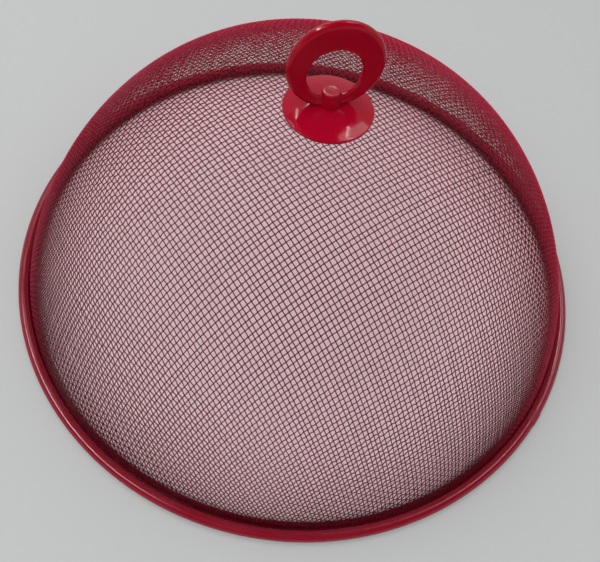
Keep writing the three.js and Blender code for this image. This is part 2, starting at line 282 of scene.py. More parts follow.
@dataclass(frozen=True)
class MouldedPlastic:
    """Red polypropylene, injection moulded in a polished tool.

    The eye sees a saturated glossy red with faint flow marks and rubbed spots. A part moulded in
    a grained tool also sparkles where a lamp strikes it.
    """

    name: str
    main_colour: str = "#a0021c"
    flow_colour: str = "#8e0219"
    ior: float = 1.49
    gloss_level: float = 0.22
    least_roughness: float = 0.1
    most_roughness: float = 0.2
    grain_size: float = 0.35
    grain_height: float = 0.0
    flow_size: float = 9.0
    ripple_size: float = 2.6
    ripple_height: float = 0.01
    rub_size: float = 0.8
    rub_start: float = 0.35
    rub_full: float = 0.75
    parting_width: float = 0.0
    parting_height: float = 0.05

    def build(self) -> bpy.types.Material:
        """Builds the node material.

        Returns:
            The material.
        """
        material, tree, spot = new_material(self.name)
        flow = add_node(tree, "ShaderNodeTexNoise",
                        {"Scale": repeats(self.flow_size), "Detail": 2.0, "Distortion": 1.2},
                        {"Vector": spot})
        colour = add_node(tree, "ShaderNodeMix",
                          {"data_type": "RGBA", 6: linear(self.main_colour),
                           7: linear(self.flow_colour)}, {0: flow.outputs["Fac"]})
        rub = add_node(tree, "ShaderNodeTexNoise", {"Scale": repeats(self.rub_size), "Detail": 4.0},
                       {"Vector": spot})
        gloss = add_node(tree, "ShaderNodeMapRange",
                         {"From Min": self.rub_start, "From Max": self.rub_full,
                          "To Min": self.least_roughness, "To Max": self.most_roughness},
                         {"Value": rub.outputs["Fac"]})
        ripple = add_node(tree, "ShaderNodeTexNoise",
                          {"Scale": repeats(self.ripple_size), "Detail": 1.0}, {"Vector": spot})
        bump = add_node(tree, "ShaderNodeBump", {"Distance": self.ripple_height * MM},
                        {"Height": ripple.outputs["Fac"]})
        if self.parting_width:
            bump = self.parting_line(tree, spot, bump)
        if self.grain_height:
            # The grain of the tool is finer than this, and is drawn coarser to show.
            grain = add_node(tree, "ShaderNodeTexNoise",
                             {"Scale": repeats(self.grain_size), "Detail": 2.0}, {"Vector": spot})
            bump = add_node(tree, "ShaderNodeBump", {"Distance": self.grain_height * MM},
                            {"Height": grain.outputs["Fac"], "Normal": bump.outputs["Normal"]})
        finish_tree(tree, {"IOR": self.ior, "Specular IOR Level": self.gloss_level},
                    {"Base Color": colour.outputs[2], "Roughness": gloss.outputs["Result"],
                     "Normal": bump.outputs["Normal"]})
        return material

    def parting_line(self, tree: bpy.types.NodeTree, spot: bpy.types.NodeSocket,
                     bump: bpy.types.Node) -> bpy.types.Node:
        """Adds the fine ridge that the two halves of the tool leave in the ring's middle plane.

        Args:
            tree: The material's node tree.
            spot: The object's coordinates.
            bump: The bump that the ridge is added to.

        Returns:
            The bump node with the ridge.
        """
        along = add_node(tree, "ShaderNodeSeparateXYZ", links={0: spot})
        away = add_node(tree, "ShaderNodeMath", {"operation": "ABSOLUTE"}, {0: along.outputs["Y"]})
        ridge = add_node(tree, "ShaderNodeMapRange",
                         {"interpolation_type": "SMOOTHSTEP",
                          "From Max": self.parting_width * MM, "To Min": 1.0, "To Max": 0.0},
                         {"Value": away.outputs["Value"]})
        return add_node(tree, "ShaderNodeBump", {"Distance": self.parting_height * MM},
                        {"Height": ridge.outputs["Result"], "Normal": bump.outputs["Normal"]})


@dataclass(frozen=True)
class ZincPlate:
    """Steel with bright electroplated zinc.

    The eye sees a cool silver with turning marks round the axis and small dull spots. The real
    marks are about 0.3 mm apart and are drawn coarser to show.
    """

    name: str = "bright_zinc_plate"
    bright: str = "#c9cdd2"
    dull: str = "#a5a9ae"
    spot_size: float = 2.2
    mark_spacing: float = 2.2
    mark_height: float = 0.006
    least_roughness: float = 0.2
    most_roughness: float = 0.42

    def build(self) -> bpy.types.Material:
        """Builds the node material.

        Returns:
            The material.
        """
        material, tree, spot = new_material(self.name)
        spots = add_node(tree, "ShaderNodeTexNoise", {"Scale": repeats(self.spot_size), "Detail": 5.0},
                         {"Vector": spot})
        colour = add_node(tree, "ShaderNodeMix",
                          {"data_type": "RGBA", 6: linear(self.bright), 7: linear(self.dull)},
                          {0: spots.outputs["Fac"]})
        gloss = add_node(tree, "ShaderNodeMapRange",
                         {"To Min": self.least_roughness, "To Max": self.most_roughness},
                         {"Value": spots.outputs["Fac"]})
        # A wave texture goes through 20 radians where a noise texture draws one feature.
        marks = add_node(tree, "ShaderNodeTexWave",
                         {"wave_type": "RINGS", "rings_direction": "Z",
                          "Scale": repeats(self.mark_spacing) * math.tau / 20, "Distortion": 0.4},
                         {"Vector": spot})
        bump = add_node(tree, "ShaderNodeBump", {"Distance": self.mark_height * MM},
                        {"Height": marks.outputs["Fac"]})
        finish_tree(tree, {"Metallic": 1.0},
                    {"Base Color": colour.outputs[2], "Roughness": gloss.outputs["Result"],
                     "Normal": bump.outputs["Normal"]})
        return material


@dataclass(frozen=True)
class DrawnWire:
    """Bright drawn steel wire, with a trace of drawing soap.

    The eye sees a dull grey metal, lined along the wire.
    """

    name: str = "drawn_steel_wire"
    bright: str = "#9fa1a3"
    soapy: str = "#7d7f80"
    streak_size: float = 3.0
    least_roughness: float = 0.35
    most_roughness: float = 0.55

    def build(self) -> bpy.types.Material:
        """Builds the node material.

        Returns:
            The material.
        """
        material, tree, spot = new_material(self.name)
        streaks = add_node(tree, "ShaderNodeTexNoise",
                           {"Scale": repeats(self.streak_size), "Detail": 4.0}, {"Vector": spot})
        colour = add_node(tree, "ShaderNodeMix",
                          {"data_type": "RGBA", 6: linear(self.bright), 7: linear(self.soapy)},
                          {0: streaks.outputs["Fac"]})
        gloss = add_node(tree, "ShaderNodeMapRange",
                         {"To Min": self.least_roughness, "To Max": self.most_roughness},
                         {"Value": streaks.outputs["Fac"]})
        finish_tree(tree, {"Metallic": 1.0},
                    {"Base Color": colour.outputs[2], "Roughness": gloss.outputs["Result"]})
        return material


@dataclass(frozen=True)
class StudioPaper:
    """Pale grey background paper, matt, with a faint tooth.

    Inside the cover it is painted paler and pink, as the photograph shows it there, and palest near
    the rim: painted light, not a colour of the paper.
    """

    name: str = "pale_studio_paper"
    colour: str = "#c0c1c1"
    shade: str = "#bdbebe"
    painted_light_middle: str = "#eed0d5"
    painted_light_rim: str = "#ffdde3"
    middle_radius: float = 60.0
    cover_radius: float = 142.0
    cover_fade: float = 3.0
    tooth_size: float = 1.2
    tooth_height: float = 0.02
    ior: float = 1.35
    gloss_level: float = 0.2
    roughness: float = 0.9

    def build(self) -> bpy.types.Material:
        """Builds the node material.

        Returns:
            The material.
        """
        material, tree, spot = new_material(self.name)
        tooth = add_node(tree, "ShaderNodeTexNoise", {"Scale": repeats(self.tooth_size), "Detail": 3.0},
                         {"Vector": spot})
        open_paper = add_node(tree, "ShaderNodeMix",
                              {"data_type": "RGBA", 6: linear(self.colour), 7: linear(self.shade)},
                              {0: tooth.outputs["Fac"]})
        away = add_node(tree, "ShaderNodeVectorMath", {"operation": "LENGTH"}, {0: spot})
        # Painted light: inside the cover the paper is painted paler and pink, palest near the rim.
        outside = add_node(tree, "ShaderNodeMapRange",
                           {"interpolation_type": "SMOOTHSTEP",
                            "From Min": (self.cover_radius - self.cover_fade) * MM,
                            "From Max": self.cover_radius * MM}, {"Value": away.outputs["Value"]})
        rimward = add_node(tree, "ShaderNodeMapRange",
                           {"interpolation_type": "SMOOTHSTEP", "From Min": self.middle_radius * MM,
                            "From Max": self.cover_radius * MM}, {"Value": away.outputs["Value"]})
        painted_glow = add_node(tree, "ShaderNodeMix",
                           {"data_type": "RGBA", 6: linear(self.painted_light_middle),
                            7: linear(self.painted_light_rim)}, {0: rimward.outputs["Result"]})
        colour = add_node(tree, "ShaderNodeMix", {"data_type": "RGBA"},
                          {0: outside.outputs["Result"], 6: painted_glow.outputs[2],
                           7: open_paper.outputs[2]})
        bump = add_node(tree, "ShaderNodeBump", {"Distance": self.tooth_height * MM},
                        {"Height": tooth.outputs["Fac"]})
        finish_tree(tree, {"Roughness": self.roughness, "IOR": self.ior,
                           "Specular IOR Level": self.gloss_level},
                    {"Base Color": colour.outputs[2], "Normal": bump.outputs["Normal"]})
        return material


@dataclass(frozen=True)
class BlackVelvet:
    """Black velvet on a card, which gives the eye no highlight of its own."""

    name: str = "black_velvet"
    pile: str = "#0c0c0c"
    roughness: float = 0.9

    def build(self) -> bpy.types.Material:
        """Builds the node material.

        Returns:
            The material.
        """
        material, tree, _ = new_material(self.name)
        finish_tree(tree, {"Base Color": linear(self.pile), "Roughness": self.roughness,
                           "Specular IOR Level": 0.0}, {})
        return material


# Meshes


def make_object(name: str, points: np.ndarray, faces: list[np.ndarray]) -> bpy.types.Object:
    """Makes a mesh object from arrays.

    Args:
        name: The object's name.
        points: Vertices, one row each.
        faces: Arrays of vertex numbers. All faces of one array have the same number of corners.

    Returns:
        The object, linked to the scene, smooth shaded.
    """
    mesh = bpy.data.meshes.new(name)
    corners = np.concatenate([part.ravel() for part in faces]).astype(np.int32)
    sizes = np.concatenate([np.full(len(part), part.shape[1]) for part in faces]).astype(np.int32)
    starts = np.concatenate([[0], np.cumsum(sizes)[:-1]]).astype(np.int32)
    mesh.vertices.add(len(points))
    mesh.vertices.foreach_set("co", np.asarray(points, np.float32).ravel())
    mesh.loops.add(len(corners))
    mesh.loops.foreach_set("vertex_index", corners)
    mesh.polygons.add(len(sizes))
    mesh.polygons.foreach_set("loop_start", starts)
    mesh.polygons.foreach_set("use_smooth", np.ones(len(sizes), bool))
    mesh.update(calc_edges=True)
    mesh.validate()
    made = bpy.data.objects.new(name, mesh)
    bpy.context.scene.collection.objects.link(made)
    return made


def grid_faces(rows: int, columns: int, rows_close: bool, columns_close: bool) -> np.ndarray:
    """Lists the quads of a grid of points.

    Args:
        rows: Number of rows.
        columns: Number of points in a row.
        rows_close: Whether the last row joins the first.
        columns_close: Whether each row's last point joins its first.

    Returns:
        One quad in each row of the array.
    """
    near = np.arange(rows if rows_close else rows - 1)[:, None]
    left = np.arange(columns if columns_close else columns - 1)[None, :]
    far, right = (near + 1) % rows, (left + 1) % columns
    quads = np.stack([near * columns + left, near * columns + right, far * columns + right,
                      far * columns + left], axis=-1)
    return quads.reshape(-1, 4)


def arc(centre: tuple[float, float], radius: float, start: float, end: float,
        steps: int) -> np.ndarray:
    """Returns points on an arc of a section, from one angle in degrees to another."""
    turns = np.radians(np.linspace(start, end, steps + 1))
    return np.stack([centre[0] + radius * np.cos(turns), centre[1] + radius * np.sin(turns)], axis=1)


def revolve(section: np.ndarray, azimuths: np.ndarray) -> np.ndarray:
    """Turns a section of (radius, height) points about Z.

    Args:
        section: The section's points.
        azimuths: Angles in degrees, one for each copy of the section.

    Returns:
        The points, copy by copy.
    """
    turns = np.radians(azimuths)[:, None]
    radius, height = section[:, 0][None, :], section[:, 1][None, :]
    heights = np.broadcast_to(height, (len(turns), len(section)))
    rows = np.stack([radius * np.cos(turns), radius * np.sin(turns), heights], axis=-1)
    return rows.reshape(-1, 3)


def lathe(name: str, section: np.ndarray, steps: int) -> bpy.types.Object:
    """Makes a closed body of revolution.

    Args:
        name: The object's name.
        section: A closed loop of (radius, height) points off the axis, anticlockwise with the
            radius to the right.
        steps: Number of steps round the axis.

    Returns:
        The object, in millimetres.
    """
    azimuths = np.arange(steps) * 360 / steps
    faces = grid_faces(steps, len(section), True, True)[:, ::-1]
    return make_object(name, revolve(section, azimuths), [faces])


def settle(made: bpy.types.Object) -> None:
    """Applies an object's modifiers to its mesh.

    Args:
        made: The object.
    """
    graph = bpy.context.evaluated_depsgraph_get()
    mesh = bpy.data.meshes.new_from_object(made.evaluated_get(graph))
    before = made.data
    made.modifiers.clear()
    made.data = mesh
    bpy.data.meshes.remove(before)


def cut_away(made: bpy.types.Object, tool: bpy.types.Object) -> None:
    """Cuts one closed body out of another.

    Args:
        made: The body that stays.
        tool: The body that is cut out, which is deleted.
    """
    cut = made.modifiers.new("cut", "BOOLEAN")
    cut.operation, cut.solver, cut.object = "DIFFERENCE", "EXACT", tool
    bpy.context.view_layer.update()
    settle(made)
    mesh = tool.data
    bpy.data.objects.remove(tool)
    bpy.data.meshes.remove(mesh)


def place(made: bpy.types.Object, material: bpy.types.Material, slot: Slot, *nodes: str,
          crease: float = 40.0) -> bpy.types.Object:
    """Finishes a piece: metres, material, body and the CAD nodes that it stands for.

    Args:
        made: The piece, still in millimetres.
        material: Its finish.
        slot: The record's material slot. It is not used.
        nodes: The CAD nodes that it replaces.
        crease: Edges that bend more than this many degrees stay sharp.

    Returns:
        The piece.
    """
    made.data.transform(Matrix.Scale(MM, 4))
    made.data.materials.clear()
    made.data.materials.append(material)
    made.data.polygons.foreach_set("use_smooth", np.ones(len(made.data.polygons), bool))
    made.data.set_sharp_from_angle(angle=math.radians(crease))
    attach(made, "root")
    if nodes:
        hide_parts(*nodes)
    LOG.info("%s: %d faces", made.name, len(made.data.polygons))
    return made


# The cover's sub-assemblies


@dataclass
class WovenDome:
    """The wire cloth: woven flat, drawn into a dome, and trimmed at the rim.

    The dome follows a superellipse above a short upright wall. The cloth keeps its wire lengths
    when it is drawn, so its upright cells lean into diamonds between the two wire directions.
    """

    wall_radius: float = 144.0
    wall_height: float = 2.5
    rise: float = 103.9
    out_power: float = 2.72
    up_power: float = 1.18
    turn: float = 24.0
    weft_spacing: float = 2.33
    warp_spacing: float = 2.0
    wire_diameter: float = 0.43
    bend_share: float = 0.17
    wire_sides: int = 6
    trim_height: float = 1.0
    punch_radius: float = 2.4
    groups: int = 4
    outline_points: int = 4001
    outline_share: float = 1.45
    spare_rows: int = 3
    solver_steps: int = 12
    stray: float = 0.13
    stray_knots: int = 9
    stray_seed: int = 11

    def surface(self, points: np.ndarray) -> tuple[np.ndarray, np.ndarray]:
        """Says how far points are outside the cloth's middle surface, and how fast that grows.

        Args:
            points: Points, one row each.

        Returns:
            The value, which is zero on the surface, and its slope in X, Y and Z.
        """
        radius = np.hypot(points[:, 0], points[:, 1])
        height = np.maximum(0, points[:, 2] - self.wall_height)
        out = (radius / self.wall_radius) ** self.out_power
        up = (height / self.rise) ** self.up_power
        slope_out = self.out_power * out / np.maximum(radius ** 2, 1e-9)
        slope_up = self.up_power * up / np.maximum(height, 1e-9)
        slope = np.stack([points[:, 0] * slope_out, points[:, 1] * slope_out, slope_up], axis=1)
        return out + up - 1, slope

    def normals(self, points: np.ndarray) -> np.ndarray:
        """Returns the surface's outward unit normals at points on it."""
        slope = self.surface(points)[1]
        return slope / np.linalg.norm(slope, axis=1, keepdims=True)

    def meridian(self, axis: int, spacing: float, count: int) -> np.ndarray:
        """Places points down a meridian at equal steps of length.

        Args:
            axis: 0 for a meridian along X, 1 for one along Y.
            spacing: Length of a step.
            count: Number of steps.

        Returns:
            The points, from the apex down.
        """
        turns = np.linspace(0, math.pi / 2, self.outline_points)
        out = self.wall_radius * np.sin(turns) ** (2 / self.out_power)
        high = self.wall_height + self.rise * np.cos(turns) ** (2 / self.up_power)
        # From the wall's top it goes straight down, past all the points that are kept.
        out = np.append(out, self.wall_radius)
        high = np.append(high, self.wall_height - count * spacing)
        length = np.concatenate([[0], np.cumsum(np.hypot(np.diff(out), np.diff(high)))])
        at = np.arange(count + 1) * spacing
        points = np.zeros((count + 1, 3))
        points[:, axis] = np.interp(at, length, out)
        points[:, 2] = np.interp(at, length, high)
        return points

    def meeting_points(self, first: np.ndarray, first_reach: float, second: np.ndarray,
                       second_reach: float, guess: np.ndarray) -> np.ndarray:
        """Finds the surface points at set distances from two known points, by Newton's method.

        Args:
            first: Known points, one row each.
            first_reach: Distance from them.
            second: Known points of the other direction.
            second_reach: Distance from those.
            guess: Where the search starts.

        Returns:
            The points found.
        """
        points = guess.copy()
        for _ in range(self.solver_steps):
            to_first, to_second = points - first, points - second
            value, slope = self.surface(points)
            miss = np.stack([(to_first ** 2).sum(1) - first_reach ** 2,
                             (to_second ** 2).sum(1) - second_reach ** 2, value], axis=1)
            matrix = np.stack([2 * to_first, 2 * to_second, slope], axis=1)
            points = points - np.linalg.solve(matrix, miss[:, :, None])[:, :, 0]
        return points

    def crossings(self) -> np.ndarray:
        """Marches a quarter of the cloth out from the apex and mirrors it.

        Returns:
            Crossing points as a square array, with the apex in the middle. Those more than the
            spare rows below the foot are nan.
        """
        # From apex to foot the dome's outline is shorter than this share of its radius.
        count = math.ceil(self.outline_share * self.wall_radius / self.warp_spacing)
        lowest = -self.spare_rows * self.weft_spacing
        quarter = np.full((count + 1, count + 1, 3), np.nan)
        quarter[:, 0] = self.meridian(0, self.warp_spacing, count)
        quarter[0, :] = self.meridian(1, self.weft_spacing, count)
        quarter[quarter[..., 2] < lowest] = np.nan
        for total in range(2, 2 * count + 1):
            i = np.arange(max(1, total - count), min(count, total - 1) + 1)
            j = total - i
            left, below, corner = quarter[i - 1, j], quarter[i, j - 1], quarter[i - 1, j - 1]
            known = ~np.isnan(left[:, 0] + below[:, 0])
            i, j, left, below, corner = i[known], j[known], left[known], below[known], corner[known]
            if len(i):
                found = self.meeting_points(left, self.warp_spacing, below, self.weft_spacing,
                                            left + below - corner)
                found[found[:, 2] < lowest] = np.nan
                quarter[i, j] = found
        right = np.concatenate([quarter[:0:-1] * [-1, 1, 1], quarter])
        return np.concatenate([right[:, :0:-1] * [1, -1, 1], right], axis=1)

    def strayed(self, cloth: np.ndarray) -> np.ndarray:
        """Shifts every wire sideways in the cloth a little, by an amount that drifts along it.

        Args:
            cloth: Crossing points as a square array.

        Returns:
            The shifted points. Those next to a nan are nan too.
        """
        draw = np.random.default_rng(self.stray_seed)
        count = cloth.shape[0]
        at, knots = np.linspace(0, self.stray_knots - 1, count), np.arange(self.stray_knots)
        moved = cloth.copy()
        for axis in (0, 1):
            sideways = np.gradient(cloth, axis=axis)
            sideways /= np.linalg.norm(sideways, axis=2, keepdims=True)
            table = np.array([np.interp(at, knots, row)
                              for row in draw.normal(0, self.stray, (count, self.stray_knots))])
            moved += (table.T if axis else table)[:, :, None] * sideways
        return moved

    def wire_runs(self, line: np.ndarray, sign: np.ndarray) -> list[tuple[np.ndarray, np.ndarray]]:
        """Bends one wire over and under the others, and trims it.

        Args:
            line: The wire's crossings.
            sign: 1 where it passes over, -1 where it passes under.

        Returns:
            The stations and outward normals of each run that is left.
        """
        normals = self.normals(line)
        lift = (sign * self.wire_diameter * 0.5)[:, None] * normals
        ahead = np.vstack([line[1:], 2 * line[-1:] - line[-2:-1]])
        behind = np.vstack([2 * line[:1] - line[1:2], line[:-1]])
        before = line + self.bend_share * (behind - line) + lift
        after = line + self.bend_share * (ahead - line) + lift
        stations = np.stack([before, after], axis=1).reshape(-1, 3)
        normals = np.repeat(normals, 2, axis=0)
        off_axis = np.hypot(stations[:, 0], stations[:, 1]) - self.punch_radius
        kept = np.minimum(stations[:, 2] - self.trim_height, off_axis)
        edges = np.flatnonzero(np.diff(np.concatenate([[0], kept > 0, [0]])))
        runs = []
        for start, end in zip(edges[::2], edges[1::2]):
            points, out = stations[start:end], normals[start:end]
            for side, near, far in ((0, start, start - 1), (1, end - 1, end)):
                if 0 <= far < len(stations):
                    share = kept[near] / (kept[near] - kept[far])
                    tip = stations[near] + share * (stations[far] - stations[near])
                    points = np.vstack([points, tip] if side else [tip, points])
                    out = np.vstack([out, normals[near]] if side else [normals[near], out])
            if len(points) > 2:
                runs.append((points, out))
        return runs

    def tube(self, stations: np.ndarray, normals: np.ndarray) -> np.ndarray:
        """Sets a ring of points round each station of a wire.

        Args:
            stations: The wire's middle line.
            normals: Outward normals of the cloth at the stations.

        Returns:
            The rings' points, ring by ring.
        """
        along = np.gradient(stations, axis=0)
        along /= np.linalg.norm(along, axis=1, keepdims=True)
        across = np.cross(along, normals)
        across /= np.linalg.norm(across, axis=1, keepdims=True)
        outward = np.cross(across, along)
        angles = np.arange(self.wire_sides) * math.tau / self.wire_sides
        radius = self.wire_diameter / 2
        rings = (stations[:, None] + radius * np.cos(angles)[None, :, None] * across[:, None]
                 + radius * np.sin(angles)[None, :, None] * outward[:, None])
        return rings.reshape(-1, 3)

    def weave(self, name: str, lines: list[tuple[np.ndarray, np.ndarray]]) -> bpy.types.Object:
        """Makes one piece from a group of wires.

        Args:
            name: The piece's name.
            lines: Each wire's crossings and signs.

        Returns:
            The piece, in millimetres.
        """
        points, quads, caps, count = [], [], [], 0
        sides = np.arange(self.wire_sides)
        for line, sign in lines:
            for stations, normals in self.wire_runs(line, sign):
                rings = self.tube(stations, normals)
                points.append(rings)
                quads.append(grid_faces(len(stations), len(sides), False, True)[:, ::-1] + count)
                caps += [count + sides, count + len(rings) - 1 - sides]
                count += len(rings)
        return make_object(name, np.concatenate(points), [np.concatenate(quads), np.array(caps)])

    def build(self, material: bpy.types.Material) -> list[bpy.types.Object]:
        """Builds the cloth as groups of wires in its two directions.

        Args:
            material: The wires' finish.

        Returns:
            The pieces.
        """
        cloth = self.strayed(self.crossings())
        spin = Matrix.Rotation(math.radians(self.turn), 4, "Z")
        made = []
        for family in Family:
            lines = []
            for row in range(cloth.shape[0]):
                line = cloth[:, row] if family is Family.WEFT else cloth[row]
                known = np.flatnonzero(~np.isnan(line[:, 0]))
                if len(known) > 2:
                    sign = family.value * (1 - 2 * ((known + row) % 2))
                    lines.append((line[known], sign))
            for group in range(self.groups):
                first, last = (len(lines) * k // self.groups for k in (group, group + 1))
                part = self.weave(f"mesh_{family.name.lower()}_{group + 1}", lines[first:last])
                part.data.transform(spin)
                made.append(place(part, material, Slot.COATED_MESH, "mesh_dome"))
        return made


@dataclass
class RolledRim:
    """The strip that holds the cloth's edge, the wire that it is rolled over, and its joint."""

    rim_radius: float = 150.0
    bead_radius: float = 2.5
    sheet: float = 0.6
    hem_outer: float = 142.45
    hem_lean: float = 0.2
    hem_height: float = 1.2
    bead_end: float = 205.0
    roll_steps: int = 40
    fold: float = 0.3
    seam_azimuth: float = -49.4
    seam_gap: float = 0.4
    joiner_length: float = 7.0
    joiner_sheet: float = 0.16
    joiner_clearance: float = 0.04
    joiner_reach: tuple[float, float] = (-25.0, 150.0)
    core_radius: float = 1.2
    steps: int = 360

    @property
    def bead_centre(self) -> tuple[float, float]:
        """Radius and height of the bead's middle."""
        return self.rim_radius - self.bead_radius, self.bead_radius

    def build(self, enamel: bpy.types.Material, touch_up: bpy.types.Material,
              wire: bpy.types.Material) -> list[bpy.types.Object]:
        """Builds the rim's three pieces.

        Args:
            enamel: Finish of the strip.
            touch_up: Finish of the joiner.
            wire: Finish of the wire inside the bead.

        Returns:
            The pieces.
        """
        return [place(self.strip(), enamel, Slot.COATED_SHEET, "rim_strip", crease=50),
                place(self.joiner(), touch_up, Slot.COATED_SHEET, "rim_joiner", crease=50),
                place(self.core(), wire, Slot.STEEL_WIRE, "rim_core_wire")]

    def sweep(self, name: str, section: np.ndarray, azimuths: np.ndarray) -> bpy.types.Object:
        """Sweeps a closed section part of the way round Z and caps its ends.

        Args:
            name: The object's name.
            section: (radius, height) points, anticlockwise with the radius to the right.
            azimuths: Angles in degrees.

        Returns:
            The object, in millimetres.
        """
        count = len(section)
        sides = grid_faces(len(azimuths), count, False, True)[:, ::-1]
        last = (len(azimuths) - 1) * count
        # A thin folded sheet: its section is a ribbon, so a cap is a row of quads across it.
        half = np.arange(count // 2 - 1)
        near = np.stack([half, half + 1, count - 2 - half, count - 1 - half], axis=1)
        return make_object(name, revolve(section, azimuths), [sides, near, near[:, ::-1] + last])

    def strip(self) -> bpy.types.Object:
        """Makes the strip: a hem inside the cloth, a flat foot, and the bead.

        Returns:
            The strip, in millimetres.
        """
        inner_hem = self.hem_outer - self.sheet
        roll_out = arc(self.bead_centre, self.bead_radius, -90, self.bead_end, self.roll_steps)
        roll_in = arc(self.bead_centre, self.bead_radius - self.sheet, self.bead_end, -90,
                      self.roll_steps)
        outside = np.vstack([[inner_hem - self.hem_lean, self.hem_height],
                             [inner_hem, self.sheet], [inner_hem + self.sheet, 0], roll_out])
        inside = np.vstack([roll_in, [self.hem_outer + self.fold, self.sheet],
                            [self.hem_outer, self.sheet + self.fold],
                            [self.hem_outer - self.hem_lean, self.hem_height]])
        half_gap = math.degrees(self.seam_gap / 2 / self.rim_radius)
        azimuths = self.seam_azimuth + np.linspace(half_gap, 360 - half_gap, self.steps)
        return self.sweep("rim_strip_rolled", np.vstack([outside, inside]), azimuths)

    def joiner(self) -> bpy.types.Object:
        """Makes the saddle that is pressed over the bead at the strip's two ends.

        Returns:
            The saddle, in millimetres.
        """
        inner = self.bead_radius + self.joiner_clearance
        low, high = self.joiner_reach
        section = np.vstack([arc(self.bead_centre, inner + self.joiner_sheet, low, high, 30),
                             arc(self.bead_centre, inner, high, low, 30)])
        half_span = math.degrees(self.joiner_length / 2 / self.rim_radius)
        azimuths = self.seam_azimuth + np.linspace(-half_span, half_span, 17)
        return self.sweep("rim_joiner_saddle", section, azimuths)

    def core(self) -> bpy.types.Object:
        """Makes the wire in the bottom of the roll.

        Returns:
            The wire, in millimetres.
        """
        centre = (self.bead_centre[0], self.sheet + self.fold + self.core_radius)
        section = arc(centre, self.core_radius, 0, 360, 16)[:-1]
        return lathe("rim_core_drawn", section, 240)


@dataclass
class RingHandle:
    """The moulded handle: a flat ring on a round boss, and the domed flange that it stands on.

    The dimple in the boss's top is given as radii and the depths there.
    """

    flange_foot: float = 107.25
    flange_radius: float = 18.5
    flange_lip: float = 1.2
    flange_height: float = 3.8
    flange_wall: float = 1.1
    flange_seat: float = 4.8
    bore_radius: float = 2.0
    boss_gap: float = 0.3
    boss_foot_radius: float = 4.4
    boss_foot_wall: float = 0.3
    boss_top_radius: float = 3.7
    boss_height: float = 6.0
    boss_sink: float = 1.0
    dimple: tuple[tuple[float, float], ...] = ((2.3, 0.0), (1.8, 0.03), (AXIS, 0.04))
    bore_depth: float = 4.7
    ring_radius: float = 18.8
    ring_thickness: float = 3.6
    inner_thickness: float = 2.4
    ring_centre: float = 17.2
    hole_radius: float = 10.7
    hole_drop: float = 3.4
    face_fall: float = 0.8
    cut_depth: float = 6.0
    cut_radius: float = 30.0
    bore_overrun: float = 2.0
    voxel: float = 0.22
    soften_passes: int = 8
    edge_bend: float = 0.5
    edge_slope: float = 72.0

    @property
    def boss_foot(self) -> float:
        """Height that the boss stands at."""
        return self.flange_foot + self.flange_height + self.boss_gap

    def build(self, ring_plastic: bpy.types.Material,
              flange_plastic: bpy.types.Material) -> list[bpy.types.Object]:
        """Builds the ring and the flange.

        Args:
            ring_plastic: The ring's finish.
            flange_plastic: The flange's finish.

        Returns:
            The two pieces.
        """
        return [place(self.ring(), ring_plastic, Slot.PLASTIC, "handle_ring", crease=60),
                place(self.flange(), flange_plastic, Slot.PLASTIC, "handle_flange", crease=50)]

    def ring_band(self) -> bpy.types.Object:
        """Makes the ring's band, thick and round outside and thinner at the finger hole.

        Returns:
            The band, in millimetres.
        """
        steps, across = 160, 12
        edge = self.ring_thickness / 2
        lip = self.inner_thickness / 2
        turns = np.linspace(0, math.tau, steps, endpoint=False)
        unit = np.stack([np.cos(turns), np.sin(turns)], axis=1)
        centre = np.array([0.0, self.boss_foot + self.ring_centre])
        outer = centre + self.ring_radius * unit
        inner = centre - [0, self.hole_drop] + self.hole_radius * unit
        # Each station of the section is its distance from one end and half the thickness there.
        outer_round = [tuple(point) for point in arc((edge, 0), edge, 180, 90, 8)]
        inner_round = arc((lip, 0), lip, 90, 180, 6)
        rows = []
        for start, end in zip(outer, inner):
            width = np.linalg.norm(end - start)
            way = (end - start) / width
            flat = np.linspace(edge, width - lip, across)[1:-1]
            slope = (flat - edge) / (width - lip - edge)
            face = [(at, edge + (lip - edge) * s ** self.face_fall) for at, s in zip(flat, slope)]
            half = outer_round + face + [(width - at, high) for at, high in inner_round]
            loop = half + [(at, -high) for at, high in half[-2:0:-1]]
            rows.append([(start[0] + at * way[0], high, start[1] + at * way[1]) for at, high in loop])
        points = np.array(rows)
        return make_object("handle_ring_moulded", points.reshape(-1, 3),
                           [grid_faces(steps, points.shape[1], True, True)])

    def boss(self) -> bpy.types.Object:
        """Makes the round boss under the ring, with a faint dimple in its top.

        Returns:
            The boss, in millimetres. It starts a little low, to be cut flat with the ring.
        """
        rounding = self.boss_top_radius / 7
        high = self.boss_height
        top = arc((self.boss_top_radius - rounding, high - rounding), rounding, 0, 90, 6)
        dimple = [(radius, high - depth) for radius, depth in self.dimple]
        section = np.vstack([[AXIS, -self.boss_sink], [self.boss_foot_radius, -self.boss_sink],
                             [self.boss_foot_radius, self.boss_foot_wall], top, dimple])
        made = lathe("boss", section, 64)
        made.data.transform(Matrix.Translation((0, 0, self.boss_foot)))
        return made

    def ring(self) -> bpy.types.Object:
        """Makes the ring and its boss in one moulding, with a soft fillet between them.

        Returns:
            The ring, in millimetres.
        """
        ring, boss = self.ring_band(), self.boss()
        join = ring.modifiers.new("join", "BOOLEAN")
        join.operation, join.solver, join.object = "UNION", "EXACT", boss
        remesh = ring.modifiers.new("remesh", "REMESH")
        remesh.mode, remesh.voxel_size = "VOXEL", self.voxel
        soften = ring.modifiers.new("soften", "SMOOTH")
        soften.factor, soften.iterations = 0.5, self.soften_passes
        bpy.context.view_layer.update()
        settle(ring)
        bpy.data.objects.remove(boss)
        foot, low = self.boss_foot, self.boss_foot - self.cut_depth
        below = np.array([[AXIS, low], [self.cut_radius, low], [self.cut_radius, foot], [AXIS, foot]])
        cut_away(ring, lathe("below", below, 48))
        top, low = foot + self.bore_depth, foot - self.bore_overrun
        bore = np.array([[AXIS, low], [self.bore_radius, low],
                         [self.bore_radius, top - self.bore_radius], [AXIS, top]])
        cut_away(ring, lathe("bore", bore, 40))
        return ring

